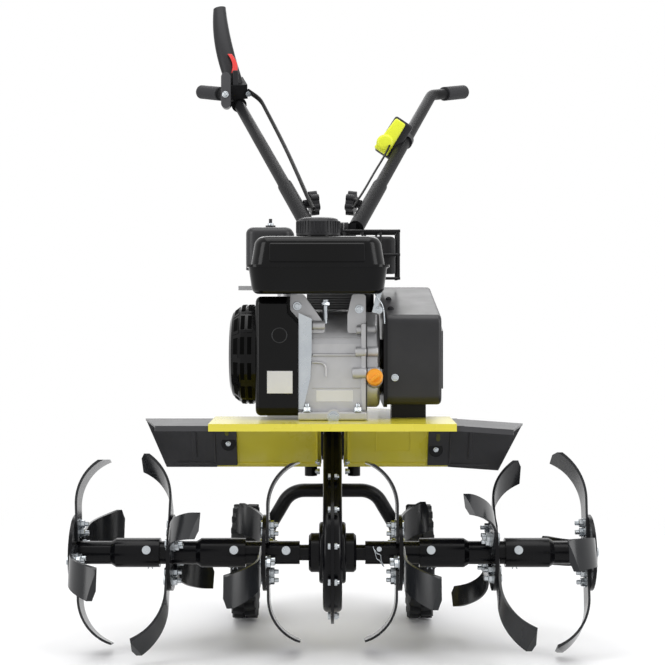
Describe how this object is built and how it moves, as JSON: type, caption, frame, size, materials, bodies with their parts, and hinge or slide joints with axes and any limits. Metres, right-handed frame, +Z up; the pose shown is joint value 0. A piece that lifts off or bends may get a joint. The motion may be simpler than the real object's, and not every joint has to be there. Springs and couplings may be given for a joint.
{
  "type": "front-tine rotary tiller",
  "caption": "Petrol rotary tiller with curved tines on a cross shaft, a sheet steel deck, a horizontal-shaft engine, transport wheels and a forked handlebar.",
  "frame": {"origin": "on the ground, under the middle of the machine's box", "axes": "+Z up, -Y forward, +X to the side that carries the belt cover"},
  "size_m": [0.86, 1.2983, 1.2718],
  "materials": {
    "lime_paint": "gloss powder coat",
    "black_paint": "satin powder coat",
    "black_gloss": "gloss paint",
    "tank_paint": "gloss paint",
    "zinc": "zinc plated",
    "cast_aluminium": "as cast",
    "muffler_steel": "heat resistant black",
    "black_plastic": "fine grain",
    "wheel_plastic": "moulded",
    "orange_plastic": "moulded",
    "red_plastic": "moulded",
    "lime_plastic": "moulded",
    "tyre_rubber": "moulded rubber",
    "grip_rubber": "soft ribbed rubber",
    "cable_sheath": "smooth sheath"
  },
  "bodies": {
    "chassis": {"air_cleaner": "black_plastic", "base_frame": "lime_paint", "bearing_hubs": "black_paint", "belt_backplate": "black_paint", "belt_cover": "black_plastic", "belt_cover_post": "black_paint", "buffer_tubes": "black_paint", "carburettor": "cast_aluminium", "case_straps": "black_paint", "chain_case_left": "black_paint", "chain_case_right": "black_paint", "crankcase": "cast_aluminium", "crankcase_cover": "cast_aluminium", "cylinder_block": "cast_aluminium", "cylinder_head": "cast_aluminium", "fan_shroud": "tank_paint", "fender_left": "black_paint", "fender_right": "black_paint", "fuel_cap": "black_plastic", "fuel_tank": "tank_paint", "handle_column": "black_paint", "muffler": "muffler_steel", "muffler_guard": "muffler_steel", "oil_plug": "orange_plastic", "rear_hitch": "black_paint", "recoil_starter": "black_plastic", "side_bracket": "zinc"},
    "tine_rotor": {"tine_hub_inner_left": "black_gloss", "tine_hub_inner_right": "black_gloss", "tine_hub_middle_left": "black_gloss", "tine_hub_middle_right": "black_gloss", "tine_hub_outer_left": "black_gloss", "tine_hub_outer_right": "black_gloss", "tine_pins": "zinc", "tine_shaft": "zinc", "tines_inner_left": "black_gloss", "tines_inner_right": "black_gloss", "tines_middle_left": "black_gloss", "tines_middle_right": "black_gloss", "tines_outer_left": "black_gloss", "tines_outer_right": "black_gloss"},
    "handlebar": {"lower_handle": "black_paint", "upper_handle_left": "black_paint", "upper_handle_right": "black_paint", "grip_left": "grip_rubber", "grip_right": "grip_rubber", "clamp_knobs": "black_plastic", "lever_bracket": "black_paint", "clutch_lever": "black_plastic", "lever_lock": "red_plastic", "throttle_body": "black_plastic", "throttle_lever": "lime_plastic", "clutch_cables": "cable_sheath", "throttle_cable": "cable_sheath"},
    "wheel_carrier": {"wheel_carrier": "black_paint"},
    "wheel_left": {"wheel_tyre_left": "tyre_rubber", "wheel_rim_left": "wheel_plastic"},
    "wheel_right": {"wheel_tyre_right": "tyre_rubber", "wheel_rim_right": "wheel_plastic"}
  },
  "joints": [
    {"name": "tine_rotor_spin", "type": "hinge", "parent": "chassis", "child": "tine_rotor", "pos_m": [0, -0.4812, 0.1705], "axis": [1, 0, 0], "continuous": true},
    {"name": "handlebar_tilt", "type": "hinge", "parent": "chassis", "child": "handlebar", "pos_m": [0, -0.1522, 0.712], "axis": [1, 0, 0], "range_deg": [-20, 20]},
    {"name": "wheel_carrier_fold", "type": "hinge", "parent": "chassis", "child": "wheel_carrier", "pos_m": [0, -0.1592, 0.3], "axis": [1, 0, 0], "range_deg": [0, 80]},
    {"name": "wheel_left_roll", "type": "hinge", "parent": "wheel_carrier", "child": "wheel_left", "pos_m": [-0.16, -0.1932, 0.104], "axis": [1, 0, 0], "continuous": true},
    {"name": "wheel_right_roll", "type": "hinge", "parent": "wheel_carrier", "child": "wheel_right", "pos_m": [0.16, -0.1932, 0.104], "axis": [1, 0, 0], "continuous": true}
  ]
}
